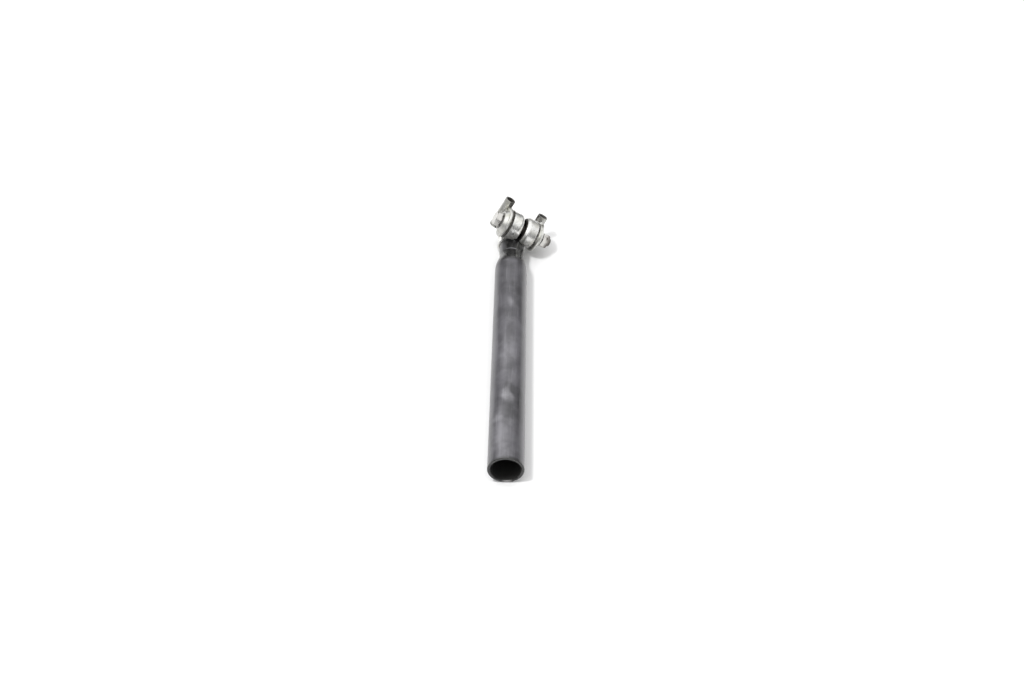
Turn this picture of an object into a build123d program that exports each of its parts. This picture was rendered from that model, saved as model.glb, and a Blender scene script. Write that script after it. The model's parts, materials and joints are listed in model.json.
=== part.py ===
from build123d import *
import math
import os

# Bicycle seatpost: a swaged steel tube with a bolted saddle clamp on its neck.
# All lengths are millimetres and all angles are degrees. The post lies along +Y with its open
# bottom end at the origin and +Z up. The clamp is drawn with its bolt along X, the post along Y and
# the front of the saddle towards Z, and is then rolled over until one rail plate rests on the same
# surface as the tube.

# Post tube
post_length = 300.0
post_diameter = 28.6
neck_diameter = 22.2
neck_length = 45.6
shoulder_length = 19.8
waist_depth = 0.5
waist_length = 8.0
tube_wall = 2.2
tube_edge_chamfer = 0.5

# Centre clip, pressed from one strap
clip_sheet = 1.8
clip_bore_clearance = 0.05
clip_slit = 2.5
strap_height = 20.0
barrel_diameter = 27.0
barrel_end_wall = 2.4
barrel_lip_round = 4.0
bolt_below_top = 22.0
bolt_post_gap = 0.6

# Cross bolt and nut
bolt_diameter = 7.9
bolt_hole_clearance = 0.25
thread_clearance = 0.05
hex_across_flats = 12.0
head_height = 4.7
nut_height = 6.2
bolt_end_past_nut = 2.7
bolt_end_chamfer = 0.8
hex_chamfer = 0.6
hex_turn = 30.0

# Radial teeth between the clip and the inner plates
tooth_count = 40
tooth_depth = 0.45
tooth_land = 0.25
tooth_inner_radius = 7.6
tooth_margin = 0.4

# Rail plates
rail_diameter = 7.0
rail_clearance = 0.05
rail_split = 0.15
rail_grip_length = 30.5
rail_clear_of_head = 4.4
plate_sheet = 1.2
plate_swing_gap = 0.3
bolt_seat_gap = 1.8
inner_disc_inset = 1.0
wing_step = 2.075
wing_lip = 1.2
wing_corner_round = 1.5
wing_rim_gap = 0.3
rim_overhang = 0.8
rim_width = 2.5
rim_chamfer = 0.5
dish_sheet = 1.8
dish_rise = 2.8
dish_slope_width = 3.0

# How far each pair of rail plates is turned on the bolt, with the front end up
left_plate_turn = 8.0
right_plate_turn = 14.0

# Radii of the round pieces
post_radius = post_diameter / 2
neck_radius = neck_diameter / 2
bolt_radius = bolt_diameter / 2
bolt_hole_radius = bolt_radius + bolt_hole_clearance
hex_corner_radius = hex_across_flats / math.sqrt(3)
clip_bore_radius = neck_radius + clip_bore_clearance
strap_radius = clip_bore_radius + clip_sheet
barrel_radius = barrel_diameter / 2
groove_radius = rail_diameter / 2 + rail_clearance
groove_outer_radius = groove_radius + plate_sheet
inner_disc_radius = barrel_radius - inner_disc_inset
rim_radius = barrel_radius + rim_overhang
dish_foot_radius = rim_radius - rim_width
dish_top_radius = dish_foot_radius - dish_slope_width
dish_slope = math.atan2(dish_rise, dish_slope_width)
dish_inset = dish_sheet * math.tan(dish_slope / 2)

# Stations along the bolt, from the middle of the clamp outwards
barrel_end = strap_radius
tooth_tips = barrel_end + plate_swing_gap
rail_out = tooth_tips + groove_outer_radius
inner_wing_face = rail_out - rail_split / 2
outer_wing_face = rail_out + rail_split / 2
inner_disc_face = inner_wing_face - wing_step
rim_face = inner_disc_face + dish_sheet
boss_face = rim_face + dish_rise
head_face = boss_face + bolt_seat_gap
nut_end = head_face + nut_height

# Places across the bolt
bolt_height = post_length - bolt_below_top
bolt_offset = neck_radius + bolt_radius + bolt_post_gap
rail_rise = hex_corner_radius + rail_clear_of_head + groove_outer_radius
wing_top = rail_rise + groove_radius + wing_lip
wing_foot = rail_rise - groove_radius - wing_lip


def wall_line(inset):
    """The tube's wall from its bottom end to its top, moved inwards by inset."""
    shoulder_top = post_length - neck_length
    foot = (post_radius - inset, shoulder_top - shoulder_length)
    waist = (neck_radius - waist_depth - inset, shoulder_top)
    neck = (neck_radius - inset, shoulder_top + waist_length)
    along = ((0, 1), (0, 1))
    return [
        Line((post_radius - inset, 0), foot),
        Spline(foot, waist, tangents=along),
        Spline(waist, neck, tangents=along),
        Line(neck, (neck_radius - inset, post_length)),
    ]


def post_tube():
    """The swaged tube, open at both ends, with its end edges broken."""
    bottom = Line((post_radius - tube_wall, 0), (post_radius, 0))
    top = Line((neck_radius - tube_wall, post_length), (neck_radius, post_length))
    section = make_face(Curve() + wall_line(0) + wall_line(tube_wall) + [bottom, top])
    tube = revolve(section, Axis.Y)
    rings = tube.edges().filter_by(GeomType.CIRCLE).group_by(Axis.Y)
    return chamfer(rings[0] + rings[-1], tube_edge_chamfer)


def rod(radius, start, end):
    """A round bar on the bolt axis."""
    bar = Cylinder(radius, end - start, align=(Align.CENTER, Align.CENTER, Align.MIN))
    return Pos(start, 0, 0) * Rot(0, 90, 0) * bar


def slab(outline, start, end):
    """A flat plate across the bolt axis; the outline's own axes lie along Y and Z."""
    plane = Plane((start, 0, 0), x_dir=(0, 1, 0), z_dir=(1, 0, 0))
    return extrude(plane * outline, end - start)


def radial_grooves(face, depth, outer_radius):
    """V grooves that leave radial teeth on a flat face; a positive depth cuts towards +X."""
    pitch = 2 * math.pi / tooth_count
    above = face - depth
    bottom = face + depth

    def section(radius):
        half_width = radius * pitch - tooth_land
        plane = Plane((0, radius, 0), x_dir=(1, 0, 0), z_dir=(0, 1, 0))
        corners = Polyline((above, -half_width), (above, half_width), (bottom, 0), close=True)
        return plane * make_face(corners)

    groove = loft([section(tooth_inner_radius), section(outer_radius)], ruled=True)
    return [Rot(math.degrees(pitch) * n, 0, 0) * groove for n in range(tooth_count)]


def on_post(radius, height):
    """A round bar on the post's axis, centred on the bolt's height."""
    return Pos(0, 0, -bolt_offset) * Rot(90, 0, 0) * Cylinder(radius, height)


def centre_clip():
    """A strap round the neck whose two ends are drawn into hollow barrels on the bolt axis."""
    through = 2 * barrel_diameter
    barrel = rod(barrel_radius, clip_slit / 2, barrel_end)
    barrel = fillet(barrel.edges().group_by(Axis.X)[0], barrel_lip_round)
    hollow = rod(barrel_radius - clip_sheet, clip_slit / 2 + clip_sheet, barrel_end - barrel_end_wall)
    hollow = chamfer(hollow.edges().group_by(Axis.X)[0], barrel_lip_round - clip_sheet)
    hollow += rod(barrel_radius - barrel_lip_round, 0, barrel_end - barrel_end_wall)
    slit = Pos(0, 0, -bolt_offset) * Box(
        clip_slit, through, 2 * bolt_offset, align=(Align.CENTER, Align.CENTER, Align.MIN)
    )
    teeth = radial_grooves(barrel_end, -tooth_depth, barrel_radius + tooth_margin)
    clip = on_post(strap_radius, strap_height) + barrel + mirror(barrel, Plane.YZ)
    clip -= [hollow, mirror(hollow, Plane.YZ), slit, on_post(clip_bore_radius, through)]
    clip -= rod(bolt_hole_radius, -2 * barrel_end, 2 * barrel_end)
    clip -= teeth
    clip -= [mirror(groove, Plane.YZ) for groove in teeth]
    return clip


def rail_bar(radius):
    """A bar along the rail that the right-hand plates hold."""
    return Pos(rail_out, rail_rise, 0) * Cylinder(radius, rail_grip_length)


def wing_ear():
    """Outline of the ear that carries the rail groove."""
    middle = (wing_foot + wing_top) / 2
    return Pos(middle, 0) * RectangleRounded(wing_top - wing_foot, rail_grip_length, wing_corner_round)


def wing_root():
    """Outline of the narrower root that joins the ear to the round disc."""
    return Pos(rail_rise / 2, 0) * Rectangle(rail_rise, 2 * dish_top_radius)


def inner_plate():
    """The toothed disc beside the right-hand barrel, with half of the rail groove in its ear."""
    disc = rod(inner_disc_radius, tooth_tips, inner_disc_face)
    root = slab(wing_root(), inner_disc_face - plate_sheet, inner_disc_face)
    ear = slab(wing_ear(), inner_wing_face - plate_sheet, inner_wing_face)
    bulge = split(rail_bar(groove_outer_radius), Plane((inner_wing_face, 0, 0), z_dir=(-1, 0, 0)))
    plate = disc + root + ear + bulge
    plate -= rail_bar(groove_radius)
    plate -= rod(bolt_hole_radius, 0, 2 * rail_out)
    plate -= radial_grooves(tooth_tips, tooth_depth, inner_disc_radius + tooth_margin)
    return plate


def dish():
    """The round cap of the outer plate: a flat rim, a conical step and a flat seat for the bolt."""
    section = Polyline(
        (inner_disc_face, rim_radius),
        (rim_face, rim_radius),
        (rim_face, dish_foot_radius),
        (boss_face, dish_top_radius),
        (boss_face, 0),
        (inner_disc_face, 0),
        close=True,
    )
    cap = revolve(make_face(section), Axis.X)
    rim_edge = cap.edges().filter_by(GeomType.CIRCLE).group_by(SortBy.RADIUS)[-1].sort_by(Axis.X)[-1]
    return chamfer(rim_edge, rim_chamfer)


def dish_hollow():
    """The space behind the conical step."""
    section = Polyline(
        (inner_disc_face, 0),
        (inner_disc_face, dish_foot_radius - dish_inset),
        (boss_face - dish_sheet, dish_top_radius - dish_inset),
        (boss_face - dish_sheet, 0),
        close=True,
    )
    return revolve(make_face(section), Axis.X)


def outer_plate():
    """The dished cap beside the right-hand nut, with the other half of the rail groove in its ear."""
    passage = Pos(0, rail_rise - groove_outer_radius - wing_rim_gap, 0) * Box(
        2 * outer_wing_face, rail_rise, rail_grip_length, align=(Align.CENTER, Align.MIN, Align.CENTER)
    )
    ear = slab(wing_ear() + wing_root(), outer_wing_face, outer_wing_face + plate_sheet)
    bulge = split(rail_bar(groove_outer_radius), Plane((outer_wing_face, 0, 0), z_dir=(1, 0, 0)))
    plate = (dish() - passage) + ear + bulge
    plate -= [dish_hollow(), rail_bar(groove_radius)]
    return plate - rod(bolt_hole_radius, 0, 2 * rail_out)


def hexagon(start, end, chamfered_ends):
    """A hexagon bar on the bolt axis, with its listed ends chamfered."""
    blank = rod(hex_corner_radius, start, end)
    rings = blank.edges().filter_by(GeomType.CIRCLE).group_by(Axis.X)
    for ring in chamfered_ends:
        blank = chamfer(rings[ring], hex_chamfer)
    return blank & slab(RegularPolygon(hex_corner_radius, 6, rotation=hex_turn), start, end)


def cross_bolt():
    """Hexagon head on the left, shank through the clamp and a chamfered end past the nut."""
    shank = rod(bolt_radius, -head_face, nut_end + bolt_end_past_nut)
    shank = chamfer(shank.edges().group_by(Axis.X)[-1], bolt_end_chamfer)
    return shank + hexagon(-head_face - head_height, -head_face, (0,))


def bolt_nut():
    """Plain hexagon nut on the right-hand end of the bolt."""
    nut = hexagon(head_face, nut_end, (-1,))
    return nut - rod(bolt_radius + thread_clearance, 0, 2 * nut_end)


def resting_roll():
    """Roll at which the rear end of the right-hand outer plate meets the surface under the tube."""
    turn = math.radians(right_plate_turn)
    rear = -rail_grip_length / 2 * math.cos(turn) - rail_rise * math.sin(turn)

    def lowest(roll):
        round_drop = groove_outer_radius * math.hypot(math.sin(turn) * math.cos(roll), math.sin(roll))
        return (bolt_offset + rear) * math.cos(roll) - rail_out * math.sin(roll) - round_drop

    low, high = 0.0, math.pi / 2
    while high - low > 1e-9:
        middle = (low + high) / 2
        if lowest(middle) > -post_radius:
            low = middle
        else:
            high = middle
    return math.degrees(low)


roll = resting_roll()
on_clamp = Rot(0, roll, 0) * Pos(0, bolt_height, bolt_offset)
pieces = {
    "post_tube": post_tube(),
    "centre_clip": on_clamp * centre_clip(),
    "cross_bolt": on_clamp * cross_bolt(),
    "bolt_nut": on_clamp * bolt_nut(),
}
for name, plate in (("inner_plate", inner_plate()), ("outer_plate", outer_plate())):
    pieces[name + "_right"] = on_clamp * Rot(-right_plate_turn, 0, 0) * plate
    pieces[name + "_left"] = on_clamp * Rot(-left_plate_turn, 0, 0) * mirror(plate, Plane.YZ)

os.makedirs("parts", exist_ok=True)
for name, piece in pieces.items():
    export_step(piece, f"parts/{name}.step")
print(f"clamp roll {roll:.2f} degrees")
print(f"bolt {bolt_height:.1f} along the post and {bolt_offset:.2f} from its axis")
print(f"rails {2 * rail_out:.1f} apart and {rail_rise:.1f} past the bolt")
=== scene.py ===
# %% [markdown]
# # A bicycle seatpost with a bolted saddle clamp
# The real object is a painted steel tube, drawn in to a slim neck at its top. A clamp of pressed and
# plated steel sits on the neck, and one long bolt holds all of it together. The solids arrive at
# their real size and place, so this lesson cuts the bolt's thread, gives every piece its surface, and
# sets up the light and the camera.

# %% Load the solids
import bpy
import json
import math
from mathutils import Matrix, Vector


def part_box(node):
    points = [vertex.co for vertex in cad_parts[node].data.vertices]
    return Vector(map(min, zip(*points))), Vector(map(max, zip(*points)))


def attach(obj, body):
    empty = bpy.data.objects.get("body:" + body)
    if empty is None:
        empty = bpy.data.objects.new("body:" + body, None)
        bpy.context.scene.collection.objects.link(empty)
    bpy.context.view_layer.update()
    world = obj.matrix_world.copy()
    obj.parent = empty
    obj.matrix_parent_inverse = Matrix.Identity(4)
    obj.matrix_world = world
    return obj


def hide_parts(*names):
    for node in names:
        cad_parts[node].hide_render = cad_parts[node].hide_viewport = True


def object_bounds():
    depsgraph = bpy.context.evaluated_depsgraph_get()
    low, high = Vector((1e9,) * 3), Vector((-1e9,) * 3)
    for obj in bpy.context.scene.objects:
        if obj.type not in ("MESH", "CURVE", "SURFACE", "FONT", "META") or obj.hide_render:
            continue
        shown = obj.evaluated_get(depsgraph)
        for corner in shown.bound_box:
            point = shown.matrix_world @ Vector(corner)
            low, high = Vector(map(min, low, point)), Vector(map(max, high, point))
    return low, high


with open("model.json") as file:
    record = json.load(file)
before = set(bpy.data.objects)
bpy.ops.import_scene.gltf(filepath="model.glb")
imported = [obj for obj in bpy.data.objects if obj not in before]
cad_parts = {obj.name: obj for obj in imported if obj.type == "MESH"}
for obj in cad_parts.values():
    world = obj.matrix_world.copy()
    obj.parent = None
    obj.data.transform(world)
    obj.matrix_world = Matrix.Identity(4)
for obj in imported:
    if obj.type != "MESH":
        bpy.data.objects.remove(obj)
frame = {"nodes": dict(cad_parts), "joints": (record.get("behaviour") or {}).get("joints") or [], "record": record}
cad_low, cad_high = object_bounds()
print("solids:", ", ".join(sorted(frame["nodes"])))

# %% [markdown]
# ## Where the bolt lies
# The clamp is rolled over to one side, so nothing in it lines up with X, Y or Z. The tilt joint
# knows the bolt's middle and its direction. From those two come the clamp's own axes: along the
# bolt, along the post, and towards the front of the saddle. A piece can then be modelled along plain
# X, Y and Z, and moved onto the clamp in one step at the end.

# %% Find the clamp's own axes
tilt_joint = next(joint for joint in frame["joints"] if joint["name"] == "left_rail_tilt")
bolt_centre = Vector(tilt_joint["pos_m"])
bolt_way = -Vector(tilt_joint["axis"])
post_way = Vector((0, 1, 0))
front_way = bolt_way.cross(post_way)
clamp_turn = Matrix((bolt_way, post_way, front_way)).transposed()
clamp_place = Matrix.Translation(bolt_centre) @ clamp_turn.to_4x4()


def on_clamp(node):
    """The corners of a solid, measured along the clamp's own axes."""
    back = clamp_place.inverted()
    return [back @ vertex.co for vertex in frame["nodes"][node].data.vertices]


print("the bolt's middle is at", [round(value, 4) for value in bolt_centre])

# %% [markdown]
# ## The bolt
# The solid of the bolt has a plain shank, because a thread only slows down a physics model. The real
# one is an 8 mm bolt with a rolled thread, and its end shows past the nut. A thread is a helix, so one
# tooth of it is drawn as an edge and the Screw modifier winds it along the bolt. The head and the
# shank are plain bars shaped further, and Boolean modifiers join the three. All sizes come from the
# solid, so the new bolt fits the same holes.

# %% Measure the bolt
HEAD_IS_WIDER = 1.2


def off_axis(corner):
    """Distance of a corner from the bolt's axis."""
    return math.hypot(corner.y, corner.z)


corners = on_clamp("cross_bolt")
head_corner = max(corners, key=off_axis)
head_radius = off_axis(head_corner)
head_turn = math.atan2(head_corner.z, head_corner.y)
shank_radius = max(off_axis(corner) for corner in corners if corner.x > 0)
head_end = min(corner.x for corner in corners)
head_seat = max(corner.x for corner in corners if off_axis(corner) > HEAD_IS_WIDER * shank_radius)
bolt_end = max(corner.x for corner in corners)
print("shank", round(2000 * shank_radius, 2), "mm thick, ends at", round(1000 * bolt_end, 2), "mm")

# %% Bars
def choose(piece):
    """Makes one object the only selected one, so that operators act on it alone."""
    bpy.ops.object.select_all(action="DESELECT")
    piece.select_set(True)
    bpy.context.view_layer.objects.active = piece


def bar(name, radius, start, end, sides, turn=0.0):
    """A round or many-sided bar along X, ready to be shaped further."""
    bpy.ops.object.select_all(action="DESELECT")
    bpy.ops.mesh.primitive_cylinder_add(vertices=sides, radius=radius, depth=end - start)
    piece = bpy.context.object
    piece.name = name
    lie_down = Matrix.Rotation(turn, 4, "X") @ Matrix.Rotation(math.pi / 2, 4, "Y")
    piece.matrix_world = Matrix.Translation(((start + end) / 2, 0, 0)) @ lie_down
    bpy.ops.object.transform_apply(location=True, rotation=True, scale=True)
    return piece


print("bars can be made")

# %% How bars are shaped
SAME_PLANE = 1e-6


def taper_end(piece, end, depth, end_radius):
    """Draws one end of a bar further out and narrower, which leaves a chamfer."""
    choose(piece)
    shrink = end_radius / max(off_axis(vertex.co) for vertex in piece.data.vertices)
    out = math.copysign(depth, end)
    bpy.ops.object.mode_set(mode="EDIT")
    bpy.ops.mesh.select_mode(type="FACE")
    bpy.ops.mesh.select_all(action="DESELECT")
    bpy.ops.object.mode_set(mode="OBJECT")
    for face in piece.data.polygons:
        face.select = abs(face.center.x - end) < SAME_PLANE
    bpy.ops.object.mode_set(mode="EDIT")
    bpy.ops.mesh.extrude_region_move(TRANSFORM_OT_translate={"value": (out, 0, 0)})
    bpy.ops.transform.resize(value=(1, shrink, shrink), center_override=(end + out, 0, 0))
    bpy.ops.object.mode_set(mode="OBJECT")


def combine(piece, other, operation):
    """Joins or cuts a piece with another one, which is used up."""
    choose(piece)
    modifier = piece.modifiers.new("combine", "BOOLEAN")
    modifier.operation = operation
    modifier.solver = "EXACT"
    modifier.object = other
    bpy.ops.object.modifier_apply(modifier=modifier.name)
    bpy.data.objects.remove(other, do_unlink=True)


print("bars can be tapered and combined")

# %% Draw one tooth of the thread
PITCH = 0.00125
THREAD_DEPTH = 0.00068
THREAD_START = 0.014
SPARE_TURNS = 2

flat = 0.15 * PITCH
flank = 0.35 * PITCH
tooth = [(flat, 0, 0), (flank, 0, THREAD_DEPTH), (flat, 0, 0), (flank, 0, -THREAD_DEPTH)]
root_radius = shank_radius - THREAD_DEPTH
wound_from = THREAD_START - SPARE_TURNS * PITCH

bpy.ops.object.select_all(action="DESELECT")
bpy.ops.mesh.primitive_plane_add(size=PITCH, location=(wound_from, 0, root_radius))
thread = bpy.context.object
bpy.ops.object.transform_apply(location=True, rotation=True, scale=True)
bpy.ops.object.mode_set(mode="EDIT")
bpy.ops.mesh.merge(type="CENTER")
for step in tooth:
    bpy.ops.mesh.extrude_vertices_move(TRANSFORM_OT_translate={"value": step})
bpy.ops.object.mode_set(mode="OBJECT")
print("tooth:", len(thread.data.edges), "edges")

# %% Wind the thread
TURN_STEPS = 40
MERGE_WITHIN = PITCH / 200

turns = math.ceil((bolt_end - wound_from) / PITCH) + SPARE_TURNS
wind = thread.modifiers.new("wind", "SCREW")
wind.axis = "X"
wind.screw_offset = PITCH
wind.iterations = turns
wind.steps = TURN_STEPS
wind.render_steps = TURN_STEPS
bpy.ops.object.modifier_apply(modifier=wind.name)
bpy.ops.object.mode_set(mode="EDIT")
bpy.ops.mesh.select_all(action="SELECT")
bpy.ops.mesh.remove_doubles(threshold=MERGE_WITHIN)
bpy.ops.mesh.fill_holes(sides=0)
bpy.ops.mesh.normals_make_consistent(inside=False)
bpy.ops.object.mode_set(mode="OBJECT")
print("thread:", turns, "turns wound")

# %% Cut the thread to its length
SPARE = 0.0001
END_CHAMFER = 0.0008
SHANK_SIDES = 64

blank = bar("blank", shank_radius + SPARE, THREAD_START, bolt_end - END_CHAMFER, SHANK_SIDES)
taper_end(blank, bolt_end - END_CHAMFER, END_CHAMFER, shank_radius - END_CHAMFER)
combine(thread, blank, "INTERSECT")
print("thread:", len(thread.data.polygons), "faces kept")

# %% Join the head, the shank and the thread
HEAD_CHAMFER = 0.0007
HEAD_END_SHARE = 0.84
HEAD_FLATS = 6
HEAD_ROUND_SIDES = 96
OVERLAP = 0.0006

bolt = bar("threaded_bolt", head_radius, head_end, head_seat, HEAD_FLATS, head_turn)
round_from = head_end + HEAD_CHAMFER
head_round = bar("head_round", head_radius + SPARE, round_from, head_seat + SPARE, HEAD_ROUND_SIDES)
taper_end(head_round, round_from, HEAD_CHAMFER, HEAD_END_SHARE * head_radius)
shank = bar("shank", shank_radius, head_seat - OVERLAP, THREAD_START + OVERLAP, SHANK_SIDES)
combine(bolt, head_round, "INTERSECT")
combine(bolt, shank, "UNION")
combine(bolt, thread, "UNION")
print("bolt:", len(bolt.data.polygons), "faces")

# %% Put the bolt in the clamp
SMOOTH_BELOW = math.radians(25)

bolt.matrix_world = clamp_place
choose(bolt)
bpy.ops.object.transform_apply(location=True, rotation=True, scale=True)
bpy.ops.object.shade_smooth_by_angle(angle=SMOOTH_BELOW)
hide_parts("cross_bolt")
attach(bolt, "saddle_clamp")
print(bolt.name, "stands for the plain bolt")

# %% [markdown]
# ## Helpers for shader nodes
# Every finish below is a small graph of nodes. One helper adds a node, sets its options and joins
# its inputs, so that each finish reads as a list of steps. Another starts a node group, which is an
# effect that several finishes share. The Mix node has a set of sockets for each kind of value, so
# its colour sockets are found by number.

# %% Node helpers
MIX_MASK, MIX_FIRST, MIX_SECOND = 0, 6, 7
MIX_RESULT = 2


def add(tree, kind, inputs=None, **options):
    """A new node with its options set and its inputs either joined or given a value."""
    node = tree.nodes.new(kind)
    for name, value in options.items():
        setattr(node, name, value)
    for name, value in (inputs or {}).items():
        if isinstance(value, bpy.types.NodeSocket):
            tree.links.new(value, node.inputs[name])
        else:
            node.inputs[name].default_value = value
    return node


def maths(tree, operation, *values):
    """The result of one sum on up to three values."""
    return add(tree, "ShaderNodeMath", dict(enumerate(values)), operation=operation).outputs[0]


def vector_maths(tree, operation, first, second):
    """A node that works on two vectors."""
    return add(tree, "ShaderNodeVectorMath", {0: first, 1: second}, operation=operation)


def length_of(tree, vector):
    """The length of a vector."""
    return add(tree, "ShaderNodeVectorMath", {0: vector}, operation="LENGTH").outputs["Value"]


def blend_colour(tree, mask, first, second):
    """The first colour where the mask is 0 and the second where it is 1."""
    inputs = {MIX_MASK: mask, MIX_FIRST: first, MIX_SECOND: second}
    return add(tree, "ShaderNodeMix", inputs, data_type="RGBA").outputs[MIX_RESULT]


def ramp(tree, value, low, high, start=0.0, end=1.0):
    """The value's stretch from low to high, eased into start to end."""
    inputs = {"Value": value, "From Min": low, "From Max": high, "To Min": start, "To Max": end}
    return add(tree, "ShaderNodeMapRange", inputs, interpolation_type="SMOOTHSTEP").outputs["Result"]


print("node helpers are ready")

# %% Group helpers
def new_group(name, inputs, outputs):
    """An empty node group with named sockets; gives the group, its inputs and its outputs."""
    group = bpy.data.node_groups.new(name, "ShaderNodeTree")
    for label, kind in inputs.items():
        group.interface.new_socket(label, in_out="INPUT", socket_type=kind)
    for label, kind in outputs.items():
        group.interface.new_socket(label, in_out="OUTPUT", socket_type=kind)
    return group, add(group, "NodeGroupInput").outputs, add(group, "NodeGroupOutput").inputs


def place(tree, group, **inputs):
    """Puts a group in a material and gives its outputs."""
    return add(tree, "ShaderNodeGroup", inputs, node_tree=group).outputs


print("group helpers are ready")

# %% [markdown]
# ## Shared effects
# Several effects turn up on more than one finish. Blotches are soft patches of dirt or wear. Streaks
# are noise pulled long in one direction, as drawing, rubbing and sliding leave it. Worn edges compare
# a rounded normal with the real one, which finds the corners that hands and frames rub bare. The
# last two tell a finish where a point lies: seen from the bolt, so that marks can follow the round
# pressed parts, or seen from any other line, such as a saddle rail.

# %% Blotches and streaks
VECTOR = "NodeSocketVector"
VALUE = "NodeSocketFloat"

blotches, inside, outside = new_group(
    "Blotches", {"Vector": VECTOR, "Scale": VALUE, "Low": VALUE, "High": VALUE}, {"Mask": VALUE}
)
cloud = add(
    blotches,
    "ShaderNodeTexNoise",
    {"Vector": inside["Vector"], "Scale": inside["Scale"], "Detail": 5.0, "Roughness": 0.6},
)
patches = ramp(blotches, cloud.outputs[0], inside["Low"], inside["High"])
blotches.links.new(patches, outside["Mask"])

streaks, inside, outside = new_group(
    "Streaks", {"Vector": VECTOR, "Stretch": VECTOR, "Low": VALUE, "High": VALUE}, {"Mask": VALUE}
)
pulled = vector_maths(streaks, "MULTIPLY", inside["Vector"], inside["Stretch"])
lines = add(streaks, "ShaderNodeTexNoise", {"Vector": pulled.outputs[0], "Scale": 1.0, "Detail": 3.0})
thinned = ramp(streaks, lines.outputs[0], inside["Low"], inside["High"])
streaks.links.new(thinned, outside["Mask"])
print("groups:", blotches.name, streaks.name)

# %% Worn edges
CORNER = 0.80
FLAT = 0.99

worn_edges, inside, outside = new_group("Worn edges", {"Radius": VALUE}, {"Mask": VALUE})
rounded = add(worn_edges, "ShaderNodeBevel", {"Radius": inside["Radius"]}, samples=6)
surface = add(worn_edges, "ShaderNodeNewGeometry")
agreement = vector_maths(worn_edges, "DOT_PRODUCT", rounded.outputs[0], surface.outputs["Normal"])
rubbed = ramp(worn_edges, agreement.outputs["Value"], CORNER, FLAT, 1.0, 0.0)
worn_edges.links.new(rubbed, outside["Mask"])
print("group:", worn_edges.name)

# %% Where a point lies, seen from the bolt
bolt_frame, inside, outside = new_group(
    "Bolt frame", {"Vector": VECTOR}, {"Along": VALUE, "Radius": VALUE, "Around": VALUE, "Ring": VECTOR}
)
from_centre = vector_maths(bolt_frame, "SUBTRACT", inside["Vector"], bolt_centre).outputs[0]
along, up_post, forward = (
    vector_maths(bolt_frame, "DOT_PRODUCT", from_centre, way).outputs["Value"]
    for way in (bolt_way, post_way, front_way)
)
across = add(bolt_frame, "ShaderNodeCombineXYZ", {"X": up_post, "Y": forward})
radius = length_of(bolt_frame, across.outputs[0])
around = maths(bolt_frame, "ARCTAN2", up_post, forward)
ring = add(bolt_frame, "ShaderNodeCombineXYZ", {"X": along, "Y": radius, "Z": around}).outputs[0]
for label, result in {"Along": along, "Radius": radius, "Around": around, "Ring": ring}.items():
    bolt_frame.links.new(result, outside[label])
print("group:", bolt_frame.name)

# %% How far a point is from a line
line_distance, inside, outside = new_group(
    "Distance from a line", {"Vector": VECTOR, "Point": VECTOR, "Way": VECTOR}, {"Distance": VALUE}
)
from_point = vector_maths(line_distance, "SUBTRACT", inside["Vector"], inside["Point"]).outputs[0]
sideways = vector_maths(line_distance, "CROSS_PRODUCT", from_point, inside["Way"]).outputs[0]
line_distance.links.new(length_of(line_distance, sideways), outside["Distance"])
print("group:", line_distance.name)

# %% Materials and their shader
def new_material(name):
    """An empty material; gives the material, its node tree, its shader and the object coordinates."""
    material = bpy.data.materials.new(name)
    material.use_nodes = True
    tree = material.node_tree
    shader = tree.nodes["Principled BSDF"]
    return material, tree, shader, add(tree, "ShaderNodeTexCoord").outputs["Object"]


def set_shader(tree, shader, joined, bumps, **fixed):
    """Joins what varies over the surface, sets what is the same all over and stacks the bumps."""
    for name, socket in joined.items():
        tree.links.new(socket, shader.inputs[name])
    for name, value in fixed.items():
        shader.inputs[name.replace("_", " ")].default_value = value
    below = None
    for height, distance in bumps:
        bump = add(tree, "ShaderNodeBump", {"Height": height, "Distance": distance, "Strength": 1.0})
        if below:
            tree.links.new(below, bump.inputs["Normal"])
        below = bump.outputs[0]
    tree.links.new(below, shader.inputs["Normal"])


print("materials can be started")

# %% [markdown]
# ## Scuffed black paint
# The post is satin black, rubbed to a chalky charcoal by years of sliding in and out of a frame. The
# rub marks run along the tube, with pale patches. The pale stripes along it are painted highlights, a
# pale patch on the neck is a painted reflection, and a pale spot low on the rim is a painted glint. The
# neck above the shoulder kept its darker paint because the frame never touched it, the edge of the
# mouth is dark too, and the bore is near-black. Each mark is placed by two numbers that can be read
# off a tube: how far along it lies, and how far round it. Noise pushes the marks about a little,
# because a real scuff has a ragged outline.

# %% Measure the tube
tube_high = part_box("post_tube")[1]
TUBE_RADIUS = tube_high.x
POST_LENGTH = tube_high.y
POST_POINT = (0, 0, 0)


def on_tube(along_tube, degrees, radius=TUBE_RADIUS):
    """A point on the tube: its distance from the bottom end, and its turn from the top to the left."""
    turn = math.radians(degrees)
    return Vector((-radius * math.sin(turn), along_tube, radius * math.cos(turn)))


print("the tube is", round(2000 * TUBE_RADIUS, 1), "mm thick")

# %% Ways to draw a mark
MIDDLE_GREY = (0.5, 0.5, 0.5)
PATCH_CORE = 0.2
RUB_CORE = 0.1
RUB_SHAPE = (1.2, 0.7, 1.2)
STRIPE_FADES = 0.75


def wander(tree, coordinates, scale, reach):
    """Coordinates pushed about by noise, which gives a mark drawn on them a ragged outline."""
    cloud = add(tree, "ShaderNodeTexNoise", {"Vector": coordinates, "Scale": scale, "Detail": 1.5})
    off = vector_maths(tree, "SUBTRACT", cloud.outputs["Color"], MIDDLE_GREY).outputs[0]
    push = vector_maths(tree, "MULTIPLY", off, (reach, reach, reach)).outputs[0]
    return vector_maths(tree, "ADD", coordinates, push).outputs[0]


def soft_patch(tree, coordinates, centre, reach):
    """A round soft-edged mask about one point."""
    away = vector_maths(tree, "DISTANCE", coordinates, centre)
    return ramp(tree, away.outputs["Value"], PATCH_CORE * reach, reach, 1.0, 0.0)


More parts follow.
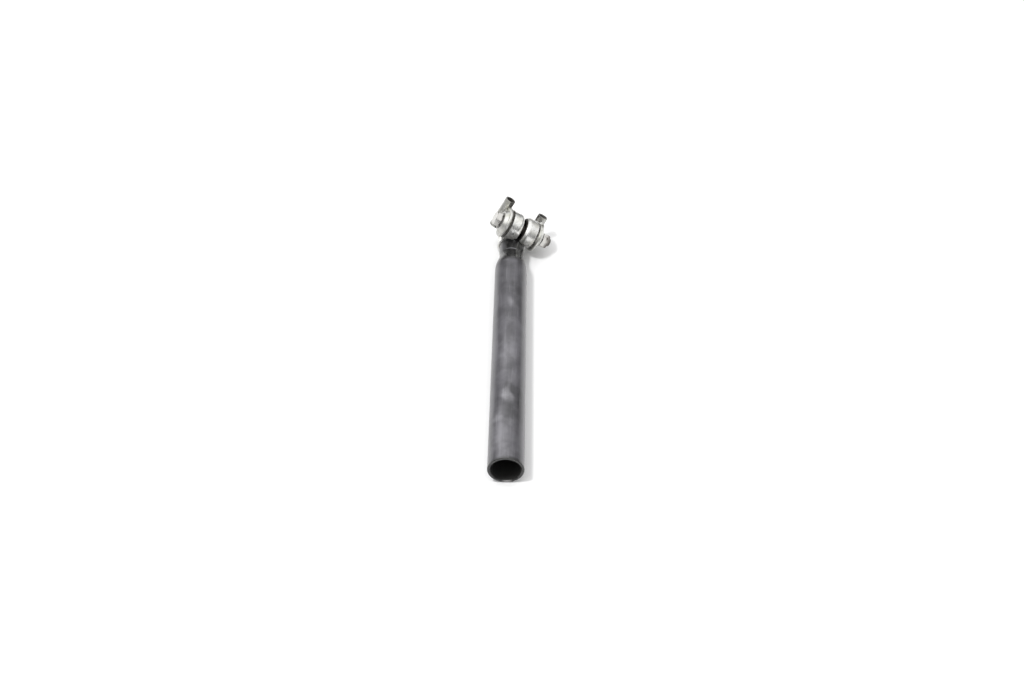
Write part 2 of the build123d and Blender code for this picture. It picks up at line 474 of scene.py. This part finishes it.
def rub_mark(tree, coordinates, centre, reach):
    """A soft-edged mask about one point, longer along the post than round it."""
    away = vector_maths(tree, "SUBTRACT", coordinates, centre).outputs[0]
    drawn_out = vector_maths(tree, "MULTIPLY", away, RUB_SHAPE).outputs[0]
    return ramp(tree, length_of(tree, drawn_out), RUB_CORE * reach, reach, 1.0, 0.0)


def soft_stripe(tree, coordinates, start, end, reach):
    """A soft-edged mask along the line between two points."""
    middle = (start + end) / 2
    way = (end - start).normalized()
    near = place(tree, line_distance, Vector=coordinates, Point=middle, Way=way)["Distance"]
    stripe = ramp(tree, near, 0.0, reach, 1.0, 0.0)
    within = soft_patch(tree, coordinates, middle, STRIPE_FADES * (end - start).length)
    return maths(tree, "MULTIPLY", stripe, within)


print("patches, rub marks and stripes can be drawn")

# %% Marks on the tube
NECK_RADIUS = 0.0111

# A painted highlight stripe has its two ends, its reach and its strength
painted_highlight_stripes = [
    (on_tube(0.052, 19), on_tube(-0.010, 12), 0.0095, 0.30),
    (on_tube(0.142, 2), on_tube(0.090, 7), 0.0085, 0.26),
    (on_tube(0.2345, 36), on_tube(0.2345, 8), 0.0030, 0.22),
]
# A patch has its middle, its reach and its strength
pale_patches = [
    (on_tube(0.0648, 0), 0.0080, 0.55),
    (on_tube(0.0735, -4), 0.0050, 0.28),
    (on_tube(0.0800, -5), 0.0050, 0.20),
    (on_tube(0.0450, 19), 0.0100, 0.18),
    (on_tube(0.0375, -17), 0.0070, 0.16),
    (on_tube(0.1560, -2), 0.0070, 0.16),
    (on_tube(0.1765, -5), 0.0070, 0.22),
]
dark_patches = [
    (on_tube(0.062, -34), 0.022, 0.22),
    (on_tube(0.205, -8), 0.045, 0.16),
]
# A painted reflection on the left side of the neck
neck_painted_reflection = (on_tube(0.2600, 64, NECK_RADIUS), 0.0110, 0.16)
# A painted glint low on the mouth's rim
rim_painted_glint = (Vector((0.0010, 0.0, -0.0132)), 0.0050, 0.80)
print("stripes and patches:", len(painted_highlight_stripes) + len(pale_patches) + len(dark_patches))

# %% Zones of the tube
END_DEPTH = 0.0006
END_DARK = 0.0036
SHOULDER_FOOT = 0.2346
SHOULDER_TOP = 0.2544
CHALK_ENDS = 0.2315
DARK_FROM = 0.2405
MID_WALL_TUBE = 0.0132
MID_WALL_NECK = 0.0097


def tube_zones(tree, spot):
    """Where a point lies on the post, and masks for its bore, its lower tube and its ends."""
    parts = add(tree, "ShaderNodeSeparateXYZ", {0: spot}).outputs
    along_post = parts["Y"]
    radius = place(tree, line_distance, Vector=spot, Point=POST_POINT, Way=post_way)["Distance"]
    wall = ramp(tree, along_post, SHOULDER_FOOT, SHOULDER_TOP, MID_WALL_TUBE, MID_WALL_NECK)
    from_ends = maths(tree, "MINIMUM", along_post, maths(tree, "SUBTRACT", POST_LENGTH, along_post))
    off_ends = maths(tree, "GREATER_THAN", from_ends, END_DEPTH)
    below_shoulder = ramp(tree, along_post, CHALK_ENDS, DARK_FROM, 1.0, 0.0)
    return {
        "along": along_post,
        "height": parts["Z"],
        "bore": maths(tree, "MULTIPLY", maths(tree, "LESS_THAN", radius, wall), off_ends),
        "lower": maths(tree, "MULTIPLY", below_shoulder, off_ends),
        "past_ends": ramp(tree, from_ends, END_DEPTH, END_DARK),
    }


print("zones can be told apart")

# %% Chalk on the lower tube
RUB_STRETCH = (130, 9, 130)
CLOUD_SCALE = 55.0
FULLY_CHALKY = 1.8
LEAST_CHALK = 0.45


def find_chalk(tree, spot, ragged, zones):
    """The rub lines along the tube, how mottled they make it, and how much chalk is left to see."""
    rubbed = place(tree, streaks, Vector=spot, Stretch=RUB_STRETCH, Low=0.36, High=0.68)["Mask"]
    cloudy = place(tree, blotches, Vector=spot, Scale=CLOUD_SCALE, Low=0.36, High=0.66)["Mask"]
    mottled = ramp(tree, maths(tree, "ADD", rubbed, cloudy), 0.0, FULLY_CHALKY, LEAST_CHALK, 1.0)
    chalky = mottled
    for centre, reach, strength in dark_patches:
        darker = maths(tree, "MULTIPLY", rub_mark(tree, ragged, centre, reach), strength)
        chalky = maths(tree, "SUBTRACT", chalky, darker)
    where = maths(tree, "MULTIPLY", zones["lower"], zones["past_ends"])
    return rubbed, mottled, maths(tree, "MULTIPLY", where, chalky)


print("chalk can be placed")

# %% Pale marks, painted highlights and the pale arc on the neck
FINE_STRENGTH = 0.14
RING_AT = 0.2545
RING_CORE = 0.0001
RING_WIDTH = 0.0007
RING_STRENGTH = 0.42
RING_REACH = 0.0078
RING_RADIUS = 0.0107
ring_middle = on_tube(RING_AT, -5, RING_RADIUS)


def scuffs_and_painted_highlights(tree, spot, ragged, zones, fine, mottled):
    """One mask of the fine scratches, painted highlight stripes, patches, the pale arc on the neck and the painted
    reflection on the neck.
    """
    pale_and_highlights = maths(tree, "MULTIPLY", fine, FINE_STRENGTH)
    for start, end, reach, strength in painted_highlight_stripes:
        pale_and_highlights = maths(tree, "MULTIPLY_ADD", soft_stripe(tree, ragged, start, end, reach), strength, pale_and_highlights)
    for centre, reach, strength in pale_patches:
        pale_and_highlights = maths(tree, "MULTIPLY_ADD", rub_mark(tree, ragged, centre, reach), strength, pale_and_highlights)
    pale_and_highlights = maths(tree, "MULTIPLY", pale_and_highlights, maths(tree, "MULTIPLY", zones["lower"], mottled))
    from_ring = maths(tree, "ABSOLUTE", maths(tree, "SUBTRACT", zones["along"], RING_AT))
    pale_arc = ramp(tree, from_ring, RING_CORE, RING_WIDTH, RING_STRENGTH, 0.0)
    pale_arc = maths(tree, "MULTIPLY", pale_arc, soft_patch(tree, spot, ring_middle, RING_REACH))
    centre, reach, strength = neck_painted_reflection
    neck_reflection = maths(tree, "MULTIPLY", soft_patch(tree, ragged, centre, reach), strength)
    return maths(tree, "MAXIMUM", pale_and_highlights, maths(tree, "MAXIMUM", pale_arc, neck_reflection))


print("pale marks can be placed")

# %% Worn rim of the mouth, with a painted glint
RIM_CORNER = 0.0006
BOTTOM_SHARE = 0.05
TOP_SHARE = 0.95


def worn_rim_and_glint(tree, spot, zones):
    """Paint rubbed off the corners, less of it towards the bottom, and a painted glint low on the rim."""
    corners = place(tree, worn_edges, Radius=RIM_CORNER)["Mask"]
    # The edge wear fades towards the bottom of the rim
    towards_top = ramp(tree, zones["height"], -TUBE_RADIUS, TUBE_RADIUS, BOTTOM_SHARE, TOP_SHARE)
    centre, reach, strength = rim_painted_glint
    painted_glint = maths(tree, "MULTIPLY", soft_patch(tree, spot, centre, reach), strength)
    return maths(tree, "MAXIMUM", maths(tree, "MULTIPLY", corners, towards_top), painted_glint)


print("the rim's wear can be placed")

# %% Black paint
PAINT = (0.006, 0.006, 0.0065, 1)
CHALK = (0.104, 0.101, 0.113, 1)
# The pale colour of the scuffs, also used for the painted highlights and the painted reflection
SCUFF_AND_HIGHLIGHT = (0.42, 0.415, 0.44, 1)
BORE_DARK = (0.006, 0.0055, 0.005, 1)
# The colour of the worn corners, also used for the painted glint on the rim
EDGE_AND_GLINT = (0.30, 0.295, 0.29, 1)
FINE_STRETCH = (900, 40, 900)
RAGGED_SCALE = 90.0
RAGGED_REACH = 0.010
PAINT_ROUGHNESS = 0.27
CHALK_ROUGHENS = 0.12
BORE_ROUGHNESS = 0.8
SCRATCH_HEIGHT = 0.00004


def black_paint():
    """Satin paint, chalky on the tube and dark on the neck, with rub marks along Y, painted highlights, a painted
    reflection and a painted glint.
    """
    material, tree, shader, spot = new_material("scuffed_black_paint")
    zones = tube_zones(tree, spot)
    ragged = wander(tree, spot, RAGGED_SCALE, RAGGED_REACH)
    fine = place(tree, streaks, Vector=spot, Stretch=FINE_STRETCH, Low=0.55, High=0.75)["Mask"]
    rubbed, mottled, chalky = find_chalk(tree, spot, ragged, zones)
    pale_and_highlights = scuffs_and_painted_highlights(tree, spot, ragged, zones, fine, mottled)
    colour = blend_colour(tree, chalky, PAINT, CHALK)
    colour = blend_colour(tree, pale_and_highlights, colour, SCUFF_AND_HIGHLIGHT)
    colour = blend_colour(tree, worn_rim_and_glint(tree, spot, zones), colour, EDGE_AND_GLINT)
    colour = blend_colour(tree, zones["bore"], colour, BORE_DARK)
    gloss = maths(tree, "MULTIPLY_ADD", chalky, CHALK_ROUGHENS, PAINT_ROUGHNESS)
    gloss = maths(tree, "MAXIMUM", gloss, maths(tree, "MULTIPLY", zones["bore"], BORE_ROUGHNESS))
    joined = {"Base Color": colour, "Roughness": gloss}
    bumps = [(maths(tree, "ADD", rubbed, fine), SCRATCH_HEIGHT)]
    dust = {"Sheen_Weight": 0.10, "Sheen_Roughness": 0.3}
    set_shader(tree, shader, joined, bumps, Coat_Weight=0.2, Coat_Roughness=0.28, **dust)
    return material


paint = black_paint()
print("material:", paint.name)

# %% [markdown]
# ## Plated steel
# The clamp's pressed parts are zinc-plated sheet. Pressing leaves faint lines round the bolt, and age
# leaves a warm, slightly green bloom with darker spots. Inside the barrels, in the slit and in the rail
# channels the colour is painted near-black: painted shade where little light gets in, with some grime.
# Grime isn't metal, so the mask that darkens the colour also takes away the metallic shine. Where this
# dark goes is different on each piece, so that part comes in as a function.

# %% Zinc plate
ZINC = (0.70, 0.70, 0.675, 1)
BRIGHT = (0.86, 0.86, 0.84, 1)
BLOOM = (0.58, 0.57, 0.50, 1)
TARNISH = (0.16, 0.155, 0.12, 1)
# Near-black for grime, also used for painted shade in hollows, joints and on undersides
GRIME_AND_SHADE = (0.022, 0.018, 0.014, 1)
LINE_STRETCH = (2200, 2200, 3)
DENT_SCALE = 150.0
BLOOM_SCALE = 190.0
SPOT_SCALE = 420.0
SPOT_EDGE = 0.14
PLATE_CORNER = 0.0004
CORNER_SHINE = 0.6
LINES_ROUGHEN = 0.08
BLOOM_ROUGHENS = 0.12
SPOTS_ROUGHEN = 0.25
GRIME_SHADE_ROUGHENS = 0.4
GRIME_SHADE_METAL = 0.1
DENT_HEIGHT = 0.00012
LINE_HEIGHT = 0.000012


def zinc_plate(name, plate, spots_from, roughness, grime_and_shade_mask):
    """Plated sheet with lines round the bolt, a warm bloom, dark spots, worn edges, and grime with painted shade.
    """
    material, tree, shader, spot = new_material(name)
    bolt_view = place(tree, bolt_frame, Vector=spot)
    drawn = place(tree, streaks, Vector=bolt_view["Ring"], Stretch=LINE_STRETCH, Low=0.3, High=0.7)["Mask"]
    uneven = place(tree, blotches, Vector=spot, Scale=DENT_SCALE, Low=0.25, High=0.75)["Mask"]
    bloom = place(tree, blotches, Vector=spot, Scale=BLOOM_SCALE, Low=0.44, High=0.78)["Mask"]
    spots_full = spots_from + SPOT_EDGE
    spots = place(tree, blotches, Vector=spot, Scale=SPOT_SCALE, Low=spots_from, High=spots_full)["Mask"]
    worn = place(tree, worn_edges, Radius=PLATE_CORNER)["Mask"]
    grime_and_shade = grime_and_shade_mask(tree, spot, bolt_view)
    colour = blend_colour(tree, bloom, plate, BLOOM)
    colour = blend_colour(tree, spots, colour, TARNISH)
    colour = blend_colour(tree, maths(tree, "MULTIPLY", worn, CORNER_SHINE), colour, BRIGHT)
    colour = blend_colour(tree, grime_and_shade, colour, GRIME_AND_SHADE)
    dull = maths(tree, "MULTIPLY", bloom, BLOOM_ROUGHENS)
    dull = maths(tree, "MULTIPLY_ADD", spots, SPOTS_ROUGHEN, dull)
    dull = maths(tree, "MULTIPLY_ADD", grime_and_shade, GRIME_SHADE_ROUGHENS, dull)
    gloss = maths(tree, "ADD", maths(tree, "MULTIPLY_ADD", drawn, LINES_ROUGHEN, roughness), dull)
    metal = ramp(tree, grime_and_shade, 0.0, 1.0, 1.0, GRIME_SHADE_METAL)
    joined = {"Base Color": colour, "Roughness": gloss, "Metallic": metal}
    set_shader(tree, shader, joined, [(uneven, DENT_HEIGHT), (drawn, LINE_HEIGHT)])
    return material


print("zinc plate is ready to be placed")

# %% Painted shade and grime inside the clip
# Each pair of measures is where the painted shade and grime is full and where it ends
HOLLOW_RADIUS = (0.0116, 0.0119)
HOLLOW_LENGTH = (0.0112, 0.0118)
SLIT_WIDTH = (0.0012, 0.0022)
SLIT_DEPTH = 0.0165
STRAP_BORE = (0.0112, 0.0115)


def clip_insides_shade(tree, spot, bolt_view):
    """Painted shade, with grime, inside the barrels, in the slit between them and in the strap's bore."""
    from_middle = maths(tree, "ABSOLUTE", bolt_view["Along"])
    hollow = ramp(tree, bolt_view["Radius"], *HOLLOW_RADIUS, 1.0, 0.0)
    hollow = maths(tree, "MULTIPLY", hollow, ramp(tree, from_middle, *HOLLOW_LENGTH, 1.0, 0.0))
    slit = ramp(tree, from_middle, *SLIT_WIDTH, 1.0, 0.0)
    slit = maths(tree, "MULTIPLY", slit, maths(tree, "LESS_THAN", bolt_view["Radius"], SLIT_DEPTH))
    from_post = place(tree, line_distance, Vector=spot, Point=POST_POINT, Way=post_way)["Distance"]
    bore = ramp(tree, from_post, *STRAP_BORE, 1.0, 0.0)
    return maths(tree, "MAXIMUM", maths(tree, "MAXIMUM", hollow, slit), bore)


print("the clip's insides can be found")

# %% Stains and painted shade on the clip
BARREL_RADIUS = (0.0135, 0.0147)
STAIN_ANGLE = (math.radians(-115), math.radians(-70))
STAIN_SCALE = 210.0
STAIN_STRENGTH = 0.75
LEFT_STAIN_RISE = math.radians(24)
RIGHT_PAINTED_SHADE = 0.16
LEFT_TO_RIGHT = (-0.0016, 0.0016)


def clip_grime_and_shade(tree, spot, bolt_view):
    """Painted shade and grime inside the clip, a stain low on its barrels and a thin painted shade over the right
    one.
    """
    higher = ramp(tree, bolt_view["Along"], *LEFT_TO_RIGHT, LEFT_STAIN_RISE, 0.0)
    lowered = maths(tree, "SUBTRACT", bolt_view["Around"], higher)
    low_side = ramp(tree, lowered, *STAIN_ANGLE, 1.0, 0.0)
    patchy = place(tree, blotches, Vector=spot, Scale=STAIN_SCALE, Low=0.36, High=0.58)["Mask"]
    on_barrel = ramp(tree, bolt_view["Radius"], *BARREL_RADIUS, STAIN_STRENGTH, 0.0)
    stain_and_shade = maths(tree, "MULTIPLY", maths(tree, "MULTIPLY", low_side, patchy), on_barrel)
    # A thin painted shade over the right barrel
    right_shade = ramp(tree, bolt_view["Along"], *LEFT_TO_RIGHT, 0.0, RIGHT_PAINTED_SHADE)
    stain_and_shade = maths(tree, "MAXIMUM", stain_and_shade, right_shade)
    return maths(tree, "MAXIMUM", clip_insides_shade(tree, spot, bolt_view), stain_and_shade)


clip_plate = zinc_plate("clip_zinc_plate", BRIGHT, 0.60, 0.17, clip_grime_and_shade)
print("material:", clip_plate.name)

# %% Painted shade and grime in the rail channels
EAR_RADIUS = (0.0145, 0.0155)
END_CLEAN = 0.0055
END_DIRTY = 0.0010
CHANNEL_SHADE_GRIME = 0.92
CHANNEL_FULL = 0.0001
CHANNEL_ENDS = 0.0004
mounts = {mount["name"]: mount for mount in frame["record"]["mounts"]}


def rail_grime_and_shade(tree, spot, bolt_view, side, ear, ends):
    """Painted shade and grime in one rail channel, and dirt with painted shade on the ear round it, more at the
    ear's ends.
    """
    mount = mounts[side + "_rail_clamp"]
    point = Vector(mount["pos_m"])
    way = Vector(mount["axis"])
    reach = mount["dims"]["r_mm"] / 1000
    end = mount["dims"]["length_mm"] / 2000
    near = place(tree, line_distance, Vector=spot, Point=point, Way=way)["Distance"]
    # Painted shade and grime inside the channel
    channel = ramp(tree, near, reach + CHANNEL_FULL, reach + CHANNEL_ENDS, CHANNEL_SHADE_GRIME, 0.0)
    from_point = vector_maths(tree, "SUBTRACT", spot, point).outputs[0]
    along_rail = vector_maths(tree, "DOT_PRODUCT", from_point, way).outputs["Value"]
    from_middle = maths(tree, "ABSOLUTE", along_rail)
    # Dirt and painted shade at the ear's open ends
    end_dirt_and_shade = ramp(tree, from_middle, end - END_CLEAN, end - END_DIRTY, 0.0, ends)
    on_ear = ramp(tree, bolt_view["Radius"], *EAR_RADIUS)
    return channel, maths(tree, "MULTIPLY", on_ear, maths(tree, "MAXIMUM", end_dirt_and_shade, ear))


print("rail channels:", len([name for name in mounts if name.endswith("_rail_clamp")]))

# %% Dirt and painted shade on the round part of a plate
LOW_ANGLE = (math.radians(-95), math.radians(-45))
TOOTH_HEIGHT = (0.01435, 0.01535)
SEAT_RADIUS = (0.0074, 0.0086)
SEAT_FROM = 0.0195
DIRT_SCALE = 260.0
LEAST_DIRT = 0.55


def plate_grime_and_shade(side, ear, ends, low, teeth, seat):
    """Grime and painted shade for one plate: how dark its ear, the ear's ends, low side, teeth and bolt seat are.
    """

    def grime_and_shade_mask(tree, spot, bolt_view):
        channel, on_ear = rail_grime_and_shade(tree, spot, bolt_view, side, ear, ends)
        # Dirt and painted shade on the low side
        low_side = ramp(tree, bolt_view["Around"], *LOW_ANGLE, low, 0.0)
        from_slit = maths(tree, "ABSOLUTE", bolt_view["Along"])
        # Painted shade in the toothed joint
        teeth_shade = ramp(tree, from_slit, *TOOTH_HEIGHT, teeth, 0.0)
        # A painted shadow, with grime, round the bolt's seat
        seat_shadow_and_grime = ramp(tree, bolt_view["Radius"], *SEAT_RADIUS, seat, 0.0)
        seat_shadow_and_grime = maths(tree, "MULTIPLY", seat_shadow_and_grime, maths(tree, "GREATER_THAN", from_slit, SEAT_FROM))
        round_part = maths(tree, "MAXIMUM", low_side, maths(tree, "MAXIMUM", teeth_shade, seat_shadow_and_grime))
        dirt = maths(tree, "MAXIMUM", on_ear, round_part)
        patchy = place(tree, blotches, Vector=spot, Scale=DIRT_SCALE, Low=0.28, High=0.66)["Mask"]
        dirt = maths(tree, "MULTIPLY", dirt, ramp(tree, patchy, 0.0, 1.0, LEAST_DIRT, 1.0))
        return maths(tree, "MAXIMUM", channel, dirt)

    return grime_and_shade_mask


print("plates can be dirtied")

# %% Finishes of the four plates
# A darker zinc for the left inner plate: painted shade for the plate that sits in shadow
SHADED_ZINC = (0.20, 0.196, 0.185, 1)

outer_left = plate_grime_and_shade("left", ear=0.15, ends=0.55, low=0.35, teeth=0.0, seat=0.9)
outer_right = plate_grime_and_shade("right", ear=0.40, ends=0.45, low=0.25, teeth=0.0, seat=0.9)
inner_left = plate_grime_and_shade("left", ear=0.55, ends=0.85, low=0.60, teeth=0.8, seat=0.0)
inner_right = plate_grime_and_shade("right", ear=0.85, ends=0.90, low=0.95, teeth=1.0, seat=0.0)
# A look has its plating, where its spots start, its roughness and its grime with painted shade
plate_looks = {
    "outer_plate_left": (ZINC, 0.63, 0.22, outer_left),
    "outer_plate_right": (ZINC, 0.63, 0.22, outer_right),
    "inner_plate_left": (SHADED_ZINC, 0.50, 0.34, inner_left),
    "inner_plate_right": (ZINC, 0.60, 0.24, inner_right),
}
plate_finishes = {}
for node, look in plate_looks.items():
    plate_finishes[node] = zinc_plate(node + "_zinc", *look)
print("materials:", ", ".join(finish.name for finish in plate_finishes.values()))

# %% [markdown]
# ## Fastener steel
# The bolt and the nut are plated too, but handling and rust from the thread left them darker. The
# shank is out of reach inside the clamp, so it is grimy there, and the thread's end is greasy.

# %% Fastener steel
STEEL = (0.62, 0.61, 0.585, 1)
RUST_BROWN = (0.060, 0.045, 0.033, 1)
RUST_SCALE = 260.0
RUST_EDGE = 0.25
FURTHER_RUST = 0.85
FASTENER_CORNER = 0.0005
FASTENER_SHINE = 0.5
STEEL_ROUGHNESS = 0.24
RUST_ROUGHENS = 0.3
RUST_METAL = 0.5
RUST_HEIGHT = 0.00003


def fastener_steel(name, rust_from, clean_until, rusty_from):
    """Plated steel with brown grime in patches, and more of it further along the bolt."""
    material, tree, shader, spot = new_material(name)
    bolt_view = place(tree, bolt_frame, Vector=spot)
    further = ramp(tree, bolt_view["Along"], clean_until, rusty_from, 0.0, FURTHER_RUST)
    rust_full = rust_from + RUST_EDGE
    dirt = place(tree, blotches, Vector=spot, Scale=RUST_SCALE, Low=rust_from, High=rust_full)["Mask"]
    dirt = maths(tree, "MAXIMUM", dirt, further)
    worn = place(tree, worn_edges, Radius=FASTENER_CORNER)["Mask"]
    colour = blend_colour(tree, dirt, STEEL, RUST_BROWN)
    colour = blend_colour(tree, maths(tree, "MULTIPLY", worn, FASTENER_SHINE), colour, BRIGHT)
    gloss = maths(tree, "MULTIPLY_ADD", dirt, RUST_ROUGHENS, STEEL_ROUGHNESS)
    metal = ramp(tree, dirt, 0.0, 1.0, 1.0, RUST_METAL)
    joined = {"Base Color": colour, "Roughness": gloss, "Metallic": metal}
    set_shader(tree, shader, joined, [(dirt, RUST_HEIGHT)])
    return material


print("fastener steel is ready to be placed")

# %% Finishes of the bolt and the nut
SHANK_DIRTY = 0.003
NUT_CLEAN = 0.0020

nut_corners = on_clamp("bolt_nut")
nut_clean_until = min(corner.x for corner in nut_corners) + NUT_CLEAN
nut_end = max(corner.x for corner in nut_corners)
bolt_steel = fastener_steel("plated_bolt_steel", 0.58, head_seat, head_seat + SHANK_DIRTY)
nut_steel = fastener_steel("plated_nut_steel", 0.48, nut_clean_until, nut_end)
print("materials:", bolt_steel.name, nut_steel.name)

# %% Give every piece its finish
finishes = {
    frame["nodes"]["post_tube"]: paint,
    frame["nodes"]["centre_clip"]: clip_plate,
    frame["nodes"]["bolt_nut"]: nut_steel,
    bolt: bolt_steel,
}
for node, finish in plate_finishes.items():
    finishes[frame["nodes"][node]] = finish
for piece, finish in finishes.items():
    piece.data.materials.clear()
    piece.data.materials.append(finish)
print("finished:", len(finishes), "pieces")

# %% [markdown]
# ## Floor, light and camera
# The post lies on a white surface under a wide bright ceiling. One soft lamp from the upper left
# throws a narrow pale shadow to the right. The surroundings are dark near the horizon, which gives
# the bright metal something dark to reflect and draws its edges.

# %% Floor
FLOOR_SIZE = 8.0
PAPER = (0.86, 0.86, 0.86, 1)
PAPER_ROUGHNESS = 0.9

floor_level = cad_low.z
bpy.ops.object.select_all(action="DESELECT")
bpy.ops.mesh.primitive_plane_add(size=FLOOR_SIZE, location=(0, 0, floor_level))
floor = bpy.context.object
floor.name = "floor"
floor_paper = bpy.data.materials.new("white_paper")
floor_paper.use_nodes = True
paper_shader = floor_paper.node_tree.nodes["Principled BSDF"]
paper_shader.inputs["Base Color"].default_value = PAPER
paper_shader.inputs["Roughness"].default_value = PAPER_ROUGHNESS
floor.data.materials.append(floor_paper)
print("the floor is at", round(floor_level, 4))

# %% Lamp
KEY_AIM = Vector((0.0, 0.15, 0.0))
KEY_WAY = Vector((-0.36, -0.24, 0.95)).normalized()
KEY_DISTANCE = 1.6
KEY_SIZE = 0.22
KEY_POWER = 12.0

lamp = bpy.data.lights.new("key", "AREA")
lamp.size = KEY_SIZE
lamp.energy = KEY_POWER
holder = bpy.data.objects.new("key", lamp)
holder.location = KEY_AIM + KEY_WAY * KEY_DISTANCE
holder.rotation_euler = KEY_WAY.to_track_quat("Z", "Y").to_euler()
bpy.context.scene.collection.objects.link(holder)
print("one lamp,", KEY_DISTANCE, "m away")

# %% Bright ceiling
SKY_LOW = 0.12
SKY_STRENGTH = 1.36
DARK_BELOW = 0.15
BRIGHT_ABOVE = 0.8

world = bpy.data.worlds.new("studio")
world.use_nodes = True
bpy.context.scene.world = world
sky = world.node_tree.nodes["Background"]
sky_way = add(world.node_tree, "ShaderNodeTexCoord").outputs["Generated"]
height = add(world.node_tree, "ShaderNodeSeparateXYZ", {0: sky_way}).outputs["Z"]
brightness = ramp(world.node_tree, height, DARK_BELOW, BRIGHT_ABOVE, SKY_LOW, 1.0)
world.node_tree.links.new(brightness, sky.inputs["Color"])
sky.inputs["Strength"].default_value = SKY_STRENGTH
print("world:", world.name)

# %% Camera
CAMERA_AT = (0.0141, -0.5883, 0.6966)
CAMERA_WAY = Vector((-0.0115, 0.7237, -0.6900))
SENSOR_WIDTH = 36.0
LENS = 41.9

camera = bpy.data.cameras.new("camera")
camera.sensor_width = SENSOR_WIDTH
camera.lens = LENS
stand = bpy.data.objects.new("camera", camera)
stand.location = CAMERA_AT
stand.rotation_euler = CAMERA_WAY.to_track_quat("-Z", "Y").to_euler()
bpy.context.scene.collection.objects.link(stand)
bpy.context.scene.camera = stand
bpy.context.scene.view_settings.view_transform = "Standard"
print("the camera stands at", [round(value, 3) for value in stand.location])
